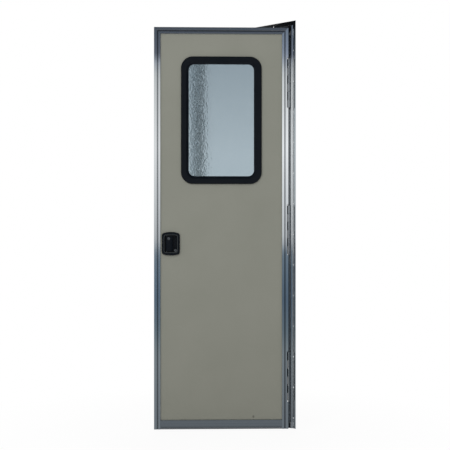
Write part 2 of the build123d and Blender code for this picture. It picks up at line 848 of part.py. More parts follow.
for hinge_name, level in hinge_levels.items():
    foot = level - hinge_length / 2
    with BuildPart() as frame_leaf:
        for turn in range(0, knuckle_count, 2):
            with BuildSketch(Plane.XY.offset(foot + turn * knuckle_pitch)):
                with BuildLine():
                    Polyline(
                        (hinge_x, hinge_y + knuckle_radius),
                        (hinge_x - arm_root, hinge_y + arm_root),
                        (web_x - hinge_plate, land_front),
                        (web_x, land_front),
                        close=True,
                    )
                make_face()
                with Locations((hinge_x, hinge_y)):
                    Circle(knuckle_radius)
                    Circle(pin_radius + pin_fit, mode=Mode.SUBTRACT)
            extrude(amount=knuckle_pitch - knuckle_gap)
        with BuildSketch(Plane.XY.offset(foot)):
            with Locations((web_x - hinge_plate / 2, land_front + hinge_plate_depth / 2)):
                Rectangle(hinge_plate, hinge_plate_depth)
        extrude(amount=hinge_length)
    frame_parts[f"{hinge_name}_hinge_frame_leaf"] = frame_leaf

    with BuildPart() as door_leaf:
        for turn in range(1, knuckle_count, 2):
            with BuildSketch(Plane.XY.offset(foot + turn * knuckle_pitch)):
                with BuildLine():
                    Polyline(
                        (hinge_x, hinge_y + knuckle_radius),
                        (hinge_x - arm_root, hinge_y + arm_root),
                        (body_right, door_plate_y),
                        (body_right, door_plate_y + 2 * hinge_plate),
                        close=True,
                    )
                make_face()
                with Locations((hinge_x, hinge_y)):
                    Circle(knuckle_radius)
                    Circle(pin_radius + pin_fit, mode=Mode.SUBTRACT)
            extrude(amount=knuckle_pitch - knuckle_gap)
        with BuildSketch(Plane.XY.offset(foot)):
            with Locations((body_right + hinge_plate / 2, door_plate_y + hinge_plate_depth / 2)):
                Rectangle(hinge_plate, hinge_plate_depth)
        extrude(amount=hinge_length)
    leaf_parts[f"{hinge_name}_hinge_door_leaf"] = door_leaf

    with BuildPart() as pin:
        with BuildSketch(Plane.XY.offset(foot)):
            with Locations((hinge_x, hinge_y)):
                Circle(pin_radius)
        extrude(amount=hinge_length)
        with BuildSketch(Plane.XY.offset(foot + hinge_length)):
            with Locations((hinge_x, hinge_y)):
                Circle(knuckle_radius)
        extrude(amount=pin_head)
        fillet(pin.faces().sort_by(Axis.Z)[-1].edges(), pin_head / 2)
    frame_parts[f"{hinge_name}_hinge_pin"] = pin

for name, piece in frame_parts.items():
    piece.part.label = name
    export_step(piece.part, f"parts/{name}.step")

for name, piece in leaf_parts.items():
    opened = swung(piece.part)
    opened.label = name
    export_step(opened, f"parts/{name}.step")
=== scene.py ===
import json
import math

import bmesh
import bpy
from mathutils import Matrix, Vector


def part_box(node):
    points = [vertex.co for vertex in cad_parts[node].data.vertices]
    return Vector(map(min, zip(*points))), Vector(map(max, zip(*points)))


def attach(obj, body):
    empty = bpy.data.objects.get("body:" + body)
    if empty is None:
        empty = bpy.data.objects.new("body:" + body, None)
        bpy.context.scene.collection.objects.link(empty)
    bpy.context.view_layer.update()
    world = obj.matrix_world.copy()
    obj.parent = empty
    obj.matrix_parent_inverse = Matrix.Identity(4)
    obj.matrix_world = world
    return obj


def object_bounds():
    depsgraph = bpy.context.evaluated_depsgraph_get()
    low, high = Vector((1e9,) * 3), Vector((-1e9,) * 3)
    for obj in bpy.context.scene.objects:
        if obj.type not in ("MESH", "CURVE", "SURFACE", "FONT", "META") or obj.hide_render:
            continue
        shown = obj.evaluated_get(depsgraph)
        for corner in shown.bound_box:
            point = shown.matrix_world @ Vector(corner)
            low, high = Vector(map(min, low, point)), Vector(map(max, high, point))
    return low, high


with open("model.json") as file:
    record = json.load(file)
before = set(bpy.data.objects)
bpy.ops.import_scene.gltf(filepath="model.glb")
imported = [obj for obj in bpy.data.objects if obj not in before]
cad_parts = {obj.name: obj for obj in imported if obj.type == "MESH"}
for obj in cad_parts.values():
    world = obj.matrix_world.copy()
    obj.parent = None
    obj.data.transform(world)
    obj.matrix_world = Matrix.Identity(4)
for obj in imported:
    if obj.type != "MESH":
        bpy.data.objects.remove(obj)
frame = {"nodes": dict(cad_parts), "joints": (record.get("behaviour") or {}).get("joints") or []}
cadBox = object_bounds()
cadNodes = frame["nodes"]
print("frame loaded,", len(cadNodes), "nodes")

# The leaf is stored part open, so its own axes are turned about the hinge pins
doorSwing = next(joint for joint in frame["joints"] if joint["name"] == "door_swing")
hingePin = Vector((doorSwing["pos_m"][0], doorSwing["pos_m"][1], 0))
leafTurn = math.radians(-doorSwing["range_deg"][0])
leafOpen = Matrix.Translation(hingePin) @ Matrix.Rotation(leafTurn, 4, "Z") @ Matrix.Translation(-hingePin)
leafShut = leafOpen.inverted()

hingeLevels = ("top", "middle", "bottom")
noiseSpan = (0.3, 0.7)  # most of a noise lies between these


def shutBox(name):  # corners of a leaf piece, as if the door were shut
    points = [leafShut @ vertex.co for vertex in cadNodes[name].data.vertices]
    low = Vector([min(point[axis] for point in points) for axis in range(3)])
    high = Vector([max(point[axis] for point in points) for axis in range(3)])
    return low, high


def startMaterial(name):
    material = bpy.data.materials.new(name)
    material.use_nodes = True
    tree = material.node_tree
    return material, tree, tree.nodes["Principled BSDF"]


def addNode(tree, kind, **settings):
    node = tree.nodes.new("ShaderNode" + kind)
    for key, value in settings.items():
        setattr(node, key, value)
    return node


def placedVector(tree, leaf, cell=(1, 1, 1), middle=(0, 0, 0)):  # object coordinates, in cells
    coord = addNode(tree, "TexCoord")
    mapping = addNode(tree, "Mapping", vector_type="TEXTURE")
    mapping.inputs["Scale"].default_value = cell
    centre = Vector(middle)
    if leaf:
        centre = leafOpen @ centre
        mapping.inputs["Rotation"].default_value = (0, 0, leafTurn)
    mapping.inputs["Location"].default_value = centre
    tree.links.new(coord.outputs["Object"], mapping.inputs["Vector"])
    return mapping.outputs["Vector"]


def addAxis(tree, vector, axis):
    parts = addNode(tree, "SeparateXYZ")
    tree.links.new(vector, parts.inputs["Vector"])
    return parts.outputs[axis]


def addNoise(tree, leaf, cell, detail):
    noise = addNode(tree, "TexNoise")
    noise.inputs["Scale"].default_value = 1.0
    noise.inputs["Detail"].default_value = detail
    tree.links.new(placedVector(tree, leaf, cell), noise.inputs["Vector"])
    return noise.outputs["Fac"]


def addRange(tree, value, low, high, span=noiseSpan):  # from low to high as the value crosses its span
    stretch = addNode(tree, "MapRange")
    stretch.inputs["From Min"].default_value = span[0]
    stretch.inputs["From Max"].default_value = span[1]
    stretch.inputs["To Min"].default_value = low
    stretch.inputs["To Max"].default_value = high
    tree.links.new(value, stretch.inputs["Value"])
    return stretch.outputs["Result"]


def addRamp(tree, value, stops):
    ramp = addNode(tree, "ValToRGB")
    elements = ramp.color_ramp.elements
    while len(elements) < len(stops):
        elements.new(0.5)  # placed below
    while len(elements) > len(stops):
        elements.remove(elements[-1])
    for element, (position, colour) in zip(elements, stops):
        element.position = position
        element.color = (*colour, 1)
    tree.links.new(value, ramp.inputs["Fac"])
    return ramp.outputs["Color"]


def addProfile(tree, value, stops, span):  # an amount that follows its stops along a value
    low, high = span
    share = addRange(tree, value, 0.0, 1.0, span)
    return addRamp(tree, share, [((place - low) / (high - low), [amount] * 3) for place, amount in stops])


def addBump(tree, shader, height, depth, strength=1.0):
    bump = addNode(tree, "Bump")
    bump.inputs["Strength"].default_value = strength
    bump.inputs["Distance"].default_value = depth
    tree.links.new(height, bump.inputs["Height"])
    tree.links.new(bump.outputs["Normal"], shader.inputs["Normal"])


def addMath(tree, operation, first, second):
    result = addNode(tree, "Math", operation=operation)
    tree.links.new(first, result.inputs[0])
    tree.links.new(second, result.inputs[1])
    return result.outputs["Value"]


def addMix(tree, factor, first, second, blend="MIX"):
    mix = addNode(tree, "Mix", data_type="RGBA", blend_type=blend)
    if isinstance(factor, float):
        mix.inputs["Factor"].default_value = factor
    else:
        tree.links.new(factor, mix.inputs["Factor"])
    for value, socket in ((first, mix.inputs["A"]), (second, mix.inputs["B"])):
        if isinstance(value, tuple):
            socket.default_value = (*value, 1)
        else:
            tree.links.new(value, socket)
    return mix.outputs["Result"]


# Mill-finish aluminium: die lines that run the whole length, dull stretches and a few grey stains,
# under the films that years outdoors leave on it, with painted shade in the recesses and painted light and
# shade by height
aluminium = {
    "bright": (0.88, 0.90, 0.91),
    "dull": (0.76, 0.79, 0.81),
    "lineSpan": (0.32, 0.62),  # of the noise, from dull to bright
    "lineWidth": 0.0016,
    "lineLength": 2.8,
    "lineDepth": 0.000010,
    "stain": (0.50, 0.53, 0.56),
    "stainAmount": 0.25,
    "stainSpan": (0.62, 0.80),
    "patch": 0.12,
    "patchLength": 0.7,
    "patchRough": 1.35,  # times the polish, where a patch is dullest
    "polish": {
        "lock stile": 0.045,
        "hinge stile": 0.035,
        "top rail": 0.07,
        "bottom rail": 0.08,
        "hinge jamb": 0.035,
        "lock jamb": 0.15,
        "head": 0.05,
        "threshold": 0.16,
    },
    "paintedLight": {  # painted light and shade: brightness by height above the foot of the door
        "lock stile": [(0.70, 1.10), (0.80, 0.98), (0.90, 0.84), (1.68, 0.84), (1.72, 0.46)],
        "top rail": [(0.0, 0.42)],
        "bottom rail": [(0.004, 0.38), (0.010, 0.62), (0.012, 1.0)],
        "head": [(0.0, 0.46)],
    },
    # Covers on the jambs' flanges, films and painted shade: strips from and to a distance, with their
    # amount by height
    "coverSoft": 0.0015,
    "sealant": {  # dried all over the lock jamb's flange
        "jamb": "lock_jamb",
        "colour": (0.66, 0.71, 0.73),
        "metal": 0.0,
        "strips": [{"from": -0.01, "to": 0.070, "amount": [(0.0, 0.9)]}],
    },
    "darkening": {  # painted shade on the hinge jamb's land, under the head and at the foot
        "jamb": "hinge_jamb",
        "colour": (0.035, 0.042, 0.050),
        "metal": 1.0,
        "strips": [
            {"from": 0.0198, "to": 0.060, "amount": [(1.685, 0.0), (1.715, 0.72)]},
            {"from": 0.0265, "to": 0.060, "amount": [(0.026, 0.95), (0.032, 0.0)]},
        ],
    },
    "dust": {  # in the hinge jamb's screw channel, and less of it on the land; heaviest from 0.9 to 1.66 m, where it is painted shade dimming the mirrored softbox as well as dust
        "jamb": "hinge_jamb",
        "colour": (0.36, 0.40, 0.41),
        "metal": 0.0,
        "strips": [
            {
                "from": 0.0085,
                "to": 0.0185,
                "amount": [
                    (0.06, 0.06),
                    (0.25, 0.16),
                    (0.75, 0.11),
                    (0.90, 0.50),
                    (1.66, 0.46),
                    (1.72, 0.0),
                ],
            },
            {
                "from": 0.0235,
                "to": 0.0310,
                "amount": [(0.06, 0.06), (0.75, 0.07), (0.90, 0.45), (1.66, 0.45), (1.72, 0.0)],
            },
        ],
    },
    # painted shade of the gap beside the hinge barrels: its width and amount
    "gapShadeWidth": 0.0066,
    "gapShadeAmount": 0.9,
    "paintedShade": (0.035, 0.042, 0.050),  # painted shade in the leaf's groove and rebate, beside the hinge barrels and across them
    "paintedShadeRough": 0.4,
    "paintedShadeRoughSpan": (0.65, 1.0),
    "paintedShadeByDepth": [  # painted shade by depth: the groove, the back of the lip, then deeper into the rebate
        (0.0006, 0.0),
        (0.0018, 0.56),
        (0.0030, 0.56),
        (0.0040, 0.0),
        (0.0046, 0.0),
        (0.0048, 1.0),
        (0.0052, 1.0),
        (0.0058, 0.55),
        (0.0085, 0.62),
        (0.0126, 0.72),
        (0.0175, 0.88),
        (0.0240, 1.0),
        (0.0300, 1.0),
        (0.0370, 0.0),
    ],
}


def leafRecessShade(tree):  # painted shade in the groove and rebate, by depth behind the leaf's face
    stops = aluminium["paintedShadeByDepth"]
    depth = addAxis(tree, placedVector(tree, True, middle=shutBox("lock_stile")[0]), "Y")
    return addProfile(tree, depth, stops, (0.0, stops[-1][0]))


def byHeight(tree, stops):  # an amount that changes with the height above the foot of the door
    return addProfile(tree, addAxis(tree, placedVector(tree, False), "Z"), stops, (0.0, cadBox[1].z))


def flangeCover(tree, cover):  # strips of a jamb's flange, measured from its outer edge
    low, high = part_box(cover["jamb"])
    edge = Vector((high.x if cover["jamb"] == "hinge_jamb" else low.x, low.y, low.z))
    across = addAxis(tree, placedVector(tree, False, middle=edge), "X")
    absolute = addNode(tree, "Math", operation="ABSOLUTE")
    tree.links.new(across, absolute.inputs[0])
    distance = absolute.outputs["Value"]
    soft = aluminium["coverSoft"]
    covered = None
    for strip in cover["strips"]:
        pastStart = addRange(tree, distance, 0.0, 1.0, (strip["from"], strip["from"] + soft))
        beforeEnd = addRange(tree, distance, 1.0, 0.0, (strip["to"], strip["to"] + soft))
        inside = addMath(tree, "MULTIPLY", pastStart, beforeEnd)
        filled = addMath(tree, "MULTIPLY", inside, byHeight(tree, strip["amount"]))
        covered = addMath(tree, "MAXIMUM", covered, filled) if covered else filled
    return covered


def hingeGapShade(tree):  # painted shade: a dark line down the edge of the hinge stile beside each barrel, for the shadow of the gap
    soft, width = aluminium["coverSoft"], aluminium["gapShadeWidth"]
    fromEdge = addAxis(tree, placedVector(tree, True, middle=shutBox("hinge_stile")[1]), "X")
    beside = addRange(tree, fromEdge, 0.0, aluminium["gapShadeAmount"], (-width - soft, -width))
    stops = []
    for level in reversed(hingeLevels):
        low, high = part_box(level + "_hinge_pin")
        stops += [(low.z - soft, 0.0), (low.z, 1.0), (high.z, 1.0), (high.z + soft, 0.0)]
    return addMath(tree, "MULTIPLY", beside, byHeight(tree, stops))


def millAluminium(member, along, leaf, covers=(), gapShaded=False):
    look = aluminium
    material, tree, shader = startMaterial("aluminium " + member)
    lineCell, patchCell = [look["lineWidth"]] * 3, [look["patch"]] * 3
    lineCell["xyz".index(along)] = look["lineLength"]
    patchCell["xyz".index(along)] = look["patchLength"]
    lines = addNoise(tree, leaf, lineCell, detail=1.0)
    patches = addNoise(tree, leaf, patchCell, detail=3.0)
    dullAt, brightAt = look["lineSpan"]
    colour = addRamp(tree, lines, [(dullAt, look["dull"]), (brightAt, look["bright"])])
    stained = addRange(tree, patches, 0.0, look["stainAmount"], look["stainSpan"])
    colour = addMix(tree, stained, colour, look["stain"])
    polish = look["polish"][member]
    rough = addRange(tree, patches, polish, look["patchRough"] * polish)
    shader.inputs["Metallic"].default_value = 1.0
    # painted light and shade, multiplied into the colour by height
    if member in look["paintedLight"]:
        colour = addMix(tree, 1.0, colour, byHeight(tree, look["paintedLight"][member]), "MULTIPLY")
    # painted shadow of the gap beside each hinge barrel
    if gapShaded:
        colour = addMix(tree, hingeGapShade(tree), colour, look["paintedShade"])
    # films and painted shade on a jamb's flange
    for cover in covers:
        covered = flangeCover(tree, look[cover])
        colour = addMix(tree, covered, colour, look[cover]["colour"])
        if look[cover]["metal"] < 1.0:
            metal = addRange(tree, covered, 1.0, look[cover]["metal"], (0.0, 1.0))
            tree.links.new(metal, shader.inputs["Metallic"])
    # painted shade in the leaf's groove and rebate, rougher where it is darkest
    if leaf:
        paintedShade = leafRecessShade(tree)
        colour = addMix(tree, paintedShade, colour, look["paintedShade"])
        paintedShadeRough = addRange(tree, paintedShade, 0.0, look["paintedShadeRough"], look["paintedShadeRoughSpan"])
        rough = addMath(tree, "ADD", rough, paintedShadeRough)
    tree.links.new(colour, shader.inputs["Base Color"])
    tree.links.new(rough, shader.inputs["Roughness"])
    addBump(tree, shader, lines, look["lineDepth"])
    return material


# Outer skin: matte warm grey coating with a fine peel and faint smears, darker towards the foot
skinPaint = {
    "colour": (0.245, 0.250, 0.212),
    "pale": (0.262, 0.266, 0.228),
    "rough": (0.52, 0.62),
    "gloss": 0.3,
    "smear": 0.22,
    "peel": 0.0022,
    "peelDepth": 0.000006,
    "darkening": (0.170, 0.162, 0.128),
    "darkeningAmount": 0.16,
    "darkeningHeight": 0.9,
    "mark": (0.05, 0.045, 0.035),  # small dirt mark on the foot of the skin
    "markAmount": 0.6,
    "markSpan": (0.05, 0.6),
    "markFromHingeEdge": 0.135,
    "markAboveRail": 0.012,
    "markSize": (0.006, 0.05, 0.009),
}


def paintedSkin():
    look = skinPaint
    material, tree, shader = startMaterial("warm grey skin")
    low, high = shutBox("outer_skin")
    railTop = shutBox("bottom_rail")[1].z
    smears = addNoise(tree, True, [look["smear"]] * 3, detail=4.0)
    colour = addMix(tree, addRange(tree, smears, 0.0, 1.0), look["colour"], look["pale"])
    height = addAxis(tree, placedVector(tree, True, middle=low), "Z")
    darkening = addRange(tree, height, look["darkeningAmount"], 0.0, (0.0, look["darkeningHeight"]))
    colour = addMix(tree, darkening, colour, look["darkening"])
    markAt = (high.x - look["markFromHingeEdge"], low.y, railTop + look["markAboveRail"])
    spot = addNode(tree, "TexGradient", gradient_type="SPHERICAL")
    tree.links.new(placedVector(tree, True, look["markSize"], markAt), spot.inputs["Vector"])
    mark = addRange(tree, spot.outputs["Fac"], 0.0, look["markAmount"], look["markSpan"])
    colour = addMix(tree, mark, colour, look["mark"])
    tree.links.new(colour, shader.inputs["Base Color"])
    tree.links.new(addRange(tree, smears, *look["rough"]), shader.inputs["Roughness"])
    shader.inputs["Specular IOR Level"].default_value = look["gloss"]
    peel = addNoise(tree, True, [look["peel"]] * 3, detail=1.0)
    addBump(tree, shader, peel, look["peelDepth"])
    return material


# Moulded black plastic: fine spark texture, greyer where it has been rubbed, and paler on the lock
# housing's front as wear and a painted highlight
blackPlastic = {
    "colour": (0.0026, 0.0046, 0.0078),
    "rubbed": (0.0046, 0.0066, 0.0098),
    "rub": 0.05,
    "roughSpread": 0.1,
    "spark": 0.0009,
    "sparkDepth": 0.00004,
    "sparkStrength": 0.6,
    "worn": (0.050, 0.056, 0.058),  # proud edges that hands and cases rub, paler also as a painted highlight along the rim
    "wearAndHighlightAmount": 0.8,
    "wearAndHighlightDepth": 0.0009,
}


def mouldedPlastic(name, rough, gloss, wearAndHighlightFront=None):
    look = blackPlastic
    material, tree, shader = startMaterial(name)
    rub = addNoise(tree, True, [look["rub"]] * 3, detail=3.0)
    colour = addMix(tree, addRange(tree, rub, 0.0, 1.0), look["colour"], look["rubbed"])
    # wear and a painted highlight on the frontmost surfaces
    if wearAndHighlightFront:
        behind = addAxis(tree, placedVector(tree, True, middle=shutBox(wearAndHighlightFront)[0]), "Y")
        worn = addRange(tree, behind, look["wearAndHighlightAmount"], 0.0, (0.0, look["wearAndHighlightDepth"]))
        colour = addMix(tree, worn, colour, look["worn"])
    tree.links.new(colour, shader.inputs["Base Color"])
    tree.links.new(addRange(tree, rub, rough, rough + look["roughSpread"]), shader.inputs["Roughness"])
    shader.inputs["Specular IOR Level"].default_value = gloss
    spark = addNoise(tree, True, [look["spark"]] * 3, detail=1.0)
    addBump(tree, shader, spark, look["sparkDepth"], look["sparkStrength"])
    return material


# Obscure glass: pebbled, grey-blue, with a film of dust that thins towards the foot
obscureGlass = {
    "tint": (0.385, 0.470, 0.520),
    "dusty": (0.270, 0.340, 0.385),
    "dustFrom": 0.2,  # share of the glass's height
    "pebble": 0.0060,
    "pebbleDepth": 0.0011,
    "rough": 0.17,
    "ior": 1.5,
}


def pebbledGlass():
    look = obscureGlass
    material, tree, shader = startMaterial("obscure glass")
    low, high = shutBox("window_glass")
    tall = high.z - low.z
    height = addAxis(tree, placedVector(tree, True, middle=low), "Z")
    dust = addRange(tree, height, 0.0, 1.0, (look["dustFrom"] * tall, tall))
    tree.links.new(addMix(tree, dust, look["tint"], look["dusty"]), shader.inputs["Base Color"])
    shader.inputs["Transmission Weight"].default_value = 1.0
    shader.inputs["Roughness"].default_value = look["rough"]
    shader.inputs["IOR"].default_value = look["ior"]
    pebbles = addNoise(tree, True, [look["pebble"]] * 3, detail=0.0)
    addBump(tree, shader, pebbles, look["pebbleDepth"])
    return material


# Rubber: black round the glass and pale grey in the bulb seals, with a dusty bloom in soft patches
rubber = {
    "gasket": {"colour": (0.012, 0.012, 0.013), "bloom": (0.045, 0.045, 0.043)},
    "bulb": {"colour": (0.80, 0.81, 0.80), "bloom": (0.84, 0.84, 0.82)},
    "patch": 0.03,
    "patchDepth": 0.0001,
    "bloomSpan": (0.4, 0.75),
    "rough": (0.55, 0.75),
}


def softRubber(name, leaf):
    material, tree, shader = startMaterial("rubber " + name)
    shades = rubber[name]["colour"], rubber[name]["bloom"]
    patches = addNoise(tree, leaf, [rubber["patch"]] * 3, detail=4.0)
    colour = addMix(tree, addRange(tree, patches, 0.0, 1.0, rubber["bloomSpan"]), *shades)
    tree.links.new(colour, shader.inputs["Base Color"])
    tree.links.new(addRange(tree, patches, *rubber["rough"]), shader.inputs["Roughness"])
    addBump(tree, shader, patches, rubber["patchDepth"])
    return material


# Inside lining: pale wipe-clean board with a leathery emboss
lining = {
    "colour": (0.60, 0.60, 0.57),
    "shade": (0.52, 0.52, 0.49),
    "rough": (0.42, 0.55),
    "emboss": 0.0016,
    "embossDepth": 0.00005,
}


def liningBoard():
    material, tree, shader = startMaterial("pale lining")
    emboss = addNoise(tree, True, [lining["emboss"]] * 3, detail=2.0)
    colour = addMix(tree, addRange(tree, emboss, 0.0, 1.0), lining["shade"], lining["colour"])
    tree.links.new(colour, shader.inputs["Base Color"])
    tree.links.new(addRange(tree, emboss, *lining["rough"]), shader.inputs["Roughness"])
    addBump(tree, shader, emboss, lining["embossDepth"])
    return material


# Rigid foam of the core: fine open cells
foam = {
    "colour": (0.72, 0.68, 0.52),
    "hollow": (0.55, 0.51, 0.38),
    "rough": 0.9,
    "cell": 0.0025,
    "cellDepth": 0.0003,
}


def rigidFoam():
    material, tree, shader = startMaterial("rigid foam")
    voronoi = addNode(tree, "TexVoronoi")
    voronoi.inputs["Scale"].default_value = 1.0
    tree.links.new(placedVector(tree, True, [foam["cell"]] * 3), voronoi.inputs["Vector"])
    cells = voronoi.outputs["Distance"]
    tree.links.new(addMix(tree, cells, foam["hollow"], foam["colour"]), shader.inputs["Base Color"])
    shader.inputs["Roughness"].default_value = foam["rough"]
    addBump(tree, shader, cells, foam["cellDepth"])
    return material


# Zinc plate: faint spangle and scuffs, with painted shade across the hinge barrels
zincPlate = {
    "bright": (0.90, 0.92, 0.93),
    "dull": (0.82, 0.84, 0.86),
    "spangle": 0.004,
    "spangleDepth": 0.000004,
    "scuff": 0.03,
    "roughSpread": 0.08,
    "shadeSide": (0.74, 0.67, 0.0),  # the way across the barrels, from the stile to the flange
    # painted shade across the barrels: a dark line at the stile's side, then darker over the half towards
    # the flange
    "shadeAcross": [
        (-0.0062, 0.85),
        (-0.0055, 0.0),
        (-0.0028, 0.0),
        (-0.0018, 0.62),
        (0.0044, 0.62),
        (0.0056, 0.2),
    ],
}


def barrelShade(tree):
    side = addNode(tree, "VectorMath", operation="DOT_PRODUCT")
    tree.links.new(placedVector(tree, False, middle=hingePin), side.inputs[0])
    side.inputs[1].default_value = zincPlate["shadeSide"]
    stops = zincPlate["shadeAcross"]
    return addProfile(tree, side.outputs["Value"], stops, (stops[0][0], stops[-1][0]))


def platedSteel(name, leaf, rough, barrel=False):
    look = zincPlate
    material, tree, shader = startMaterial(name)
    spangle = addNoise(tree, leaf, [look["spangle"]] * 3, detail=3.0)
    scuff = addNoise(tree, leaf, [look["scuff"]] * 3, detail=4.0)
    colour = addMix(tree, addRange(tree, spangle, 0.0, 1.0), look["dull"], look["bright"])
    # painted shade across the barrel
    if barrel:
        colour = addMix(tree, barrelShade(tree), colour, aluminium["paintedShade"])
    tree.links.new(colour, shader.inputs["Base Color"])
    tree.links.new(addRange(tree, scuff, rough, rough + look["roughSpread"]), shader.inputs["Roughness"])
    shader.inputs["Metallic"].default_value = 1.0
    addBump(tree, shader, spangle, look["spangleDepth"])
    return material


# Lock cylinders and paddle pin: dark plate, worn brighter in patches
lockPlate = {
    "dark": (0.05, 0.053, 0.056),
    "worn": (0.30, 0.31, 0.32),
    "rough": (0.28, 0.45),
    "scuff": 0.004,
}


def darkPlate():
    material, tree, shader = startMaterial("dark lock plate")
    scuff = addNoise(tree, True, [lockPlate["scuff"]] * 3, detail=4.0)
    colour = addMix(tree, addRange(tree, scuff, 0.0, 1.0), lockPlate["dark"], lockPlate["worn"])
    tree.links.new(colour, shader.inputs["Base Color"])
    tree.links.new(addRange(tree, scuff, *lockPlate["rough"]), shader.inputs["Roughness"])
    shader.inputs["Metallic"].default_value = 1.0
    return material


# Finishes that several pieces share, then the finish of every node
zincLeaf = platedSteel("zinc plate leaf", leaf=True, rough=0.07)
zincFrame = platedSteel("zinc plate frame", leaf=False, rough=0.07)
hingeLeaf = platedSteel("zinc plate hinge leaf", leaf=True, rough=0.08, barrel=True)
hingeFrame = platedSteel("zinc plate hinge frame", leaf=False, rough=0.08, barrel=True)
lockSteel = darkPlate()
blackSatin = mouldedPlastic("black plastic satin", rough=0.28, gloss=0.16)
lockPlastic = mouldedPlastic("black plastic lock", rough=0.18, gloss=0.14)
housingPlastic = mouldedPlastic("black plastic housing", rough=0.18, gloss=0.14, wearAndHighlightFront="lock_housing")
bulbSeal = softRubber("bulb", leaf=False)
finishes = {
    "lock_stile": millAluminium("lock stile", "z", leaf=True),
    "hinge_stile": millAluminium("hinge stile", "z", leaf=True, gapShaded=True),
    "top_rail": millAluminium("top rail", "x", leaf=True),
    "bottom_rail": millAluminium("bottom rail", "x", leaf=True),
    "hinge_jamb": millAluminium("hinge jamb", "z", leaf=False, covers=("dust", "darkening")),
    "lock_jamb": millAluminium("lock jamb", "z", leaf=False, covers=("sealant",)),
    "frame_head": millAluminium("head", "x", leaf=False),
    "threshold": millAluminium("threshold", "x", leaf=False),
    "outer_skin": paintedSkin(),
    "panel_core": rigidFoam(),
    "inner_skin": liningBoard(),
    "window_ring": blackSatin,
    "inner_window_ring": blackSatin,
    "inside_plate": blackSatin,
    "inside_paddle": lockPlastic,
    "lock_housing": housingPlastic,
    "paddle": lockPlastic,
    "thumb_turn": lockPlastic,
    "window_glass": pebbledGlass(),
    "glazing_gasket": softRubber("gasket", leaf=True),
    "paddle_cylinder": lockSteel,
    "dead_bolt_cylinder": lockSteel,
    "paddle_pin": lockSteel,
    "lock_case": zincLeaf,
    "lock_faceplate": zincLeaf,
    "spring_bolt": zincLeaf,
    "dead_bolt": zincLeaf,
    "strike_plate": zincFrame,
}
for side in ("hinge_jamb", "lock_jamb", "head", "threshold"):
    finishes[side + "_seal"] = bulbSeal
for level in hingeLevels:
    finishes[level + "_hinge_frame_leaf"] = hingeFrame
    finishes[level + "_hinge_pin"] = hingeFrame
    finishes[level + "_hinge_door_leaf"] = hingeLeaf
for name, material in finishes.items():
    for slot in cadNodes[name].material_slots:
        slot.material = material
bare = sorted(set(cadNodes) - set(finishes))
print("finishes given to", len(finishes), "nodes, without:", bare)


def finishPiece(bm, name, material, body):
    mesh = bpy.data.meshes.new(name)
    bm.to_mesh(mesh)
    bm.free()
    mesh.materials.append(material)
    piece = bpy.data.objects.new(name, mesh)
    bpy.context.scene.collection.objects.link(piece)
    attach(piece, body)


# Screw head: low and tapered, with a raised crown round a cross recess
screwHead = {  # shares of the head's radius and of its height
    "sides": 16,
    "taper": 0.84,
    "crown": 0.3,
    "crownRise": 0.1,
    "recessEdge": 0.02,
    "recess": 0.55,
    "recessDepth": 0.55,
    "recessCorner": 1.45,  # times half an arm's width
    "armAngle": math.pi / 8,
}


def addScrew(bm, place, radius, proud):  # its axis along the place's Z
    look = screwHead
    before = set(bm.verts)
    halfStep = Matrix.Rotation(math.pi / look["sides"], 4, "Z")
    bmesh.ops.create_cone(
        bm,
        cap_ends=True,
        segments=look["sides"],
        radius1=radius,
        radius2=look["taper"] * radius,
        depth=proud,
        matrix=Matrix.Translation((0, 0, proud / 2)) @ halfStep,
    )
    faces = {face for vert in bm.verts if vert not in before for face in vert.link_faces}
    top = max(faces, key=lambda face: face.calc_center_median().z)
    crownRise = look["crownRise"] * proud
    bmesh.ops.inset_region(bm, faces=[top], thickness=look["crown"] * radius, depth=crownRise)
    bmesh.ops.inset_region(bm, faces=[top], thickness=look["recessEdge"] * radius)
    armReach = look["recess"] * radius
    armHalf = armReach * math.sin(math.pi / look["sides"])
    for vert in top.verts:
        angle = math.atan2(vert.co.y, vert.co.x) % (math.pi / 2)
        inArm = angle < look["armAngle"] or angle > math.pi / 2 - look["armAngle"]
        reach = armReach if inArm else look["recessCorner"] * armHalf
        scale = reach / vert.co.xy.length
        vert.co.x *= scale
        vert.co.y *= scale
    sunk = bmesh.ops.extrude_discrete_faces(bm, faces=[top])["faces"][0]
    bmesh.ops.translate(bm, vec=(0, 0, -look["recessDepth"] * proud), verts=sunk.verts)
    added = [vert for vert in bm.verts if vert not in before]
    bmesh.ops.transform(bm, matrix=place, verts=added)


def addScrewSet(name, look, places, material, body):
    bm = bmesh.new()
    for place in places:
        addScrew(bm, place, look["radius"], look["proud"])
    finishPiece(bm, name, material, body)


def facing(point, direction):  # a place at a point, its Z along a direction
    turn = Vector(direction).to_track_quat("Z", "Y").to_matrix().to_4x4()
    return Matrix.Translation(point) @ turn


# Hinge screws: four in each plate, their heads almost flush
hingeScrews = {
    "radius": 0.0042,
    "proud": 0.0009,
    "count": 4,
    "fromEnd": 0.03,
    "fromBack": 0.009,
    "plate": 0.002,
}


def hingeScrewPlaces(level, onLeaf):
    look = hingeScrews
    low, high = shutBox(level + "_hinge_door_leaf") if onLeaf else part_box(level + "_hinge_frame_leaf")
    face = low.x + look["plate"] if onLeaf else low.x
    top, foot = high.z - look["fromEnd"], low.z + look["fromEnd"]
    for count in range(look["count"]):
        z = foot + (top - foot) * count / (look["count"] - 1)
        place = facing((face, high.y - look["fromBack"], z), (1 if onLeaf else -1, 0, 0))
        yield leafOpen @ place if onLeaf else place


for onLeaf, name, body, material in (
    (True, "hinge_screws_leaf", "door", zincLeaf),
    (False, "hinge_screws_frame", "frame", zincFrame),
):
    places = [place for level in hingeLevels for place in hingeScrewPlaces(level, onLeaf)]
    addScrewSet(name, hingeScrews, places, material, body)
print("hinge screws set")

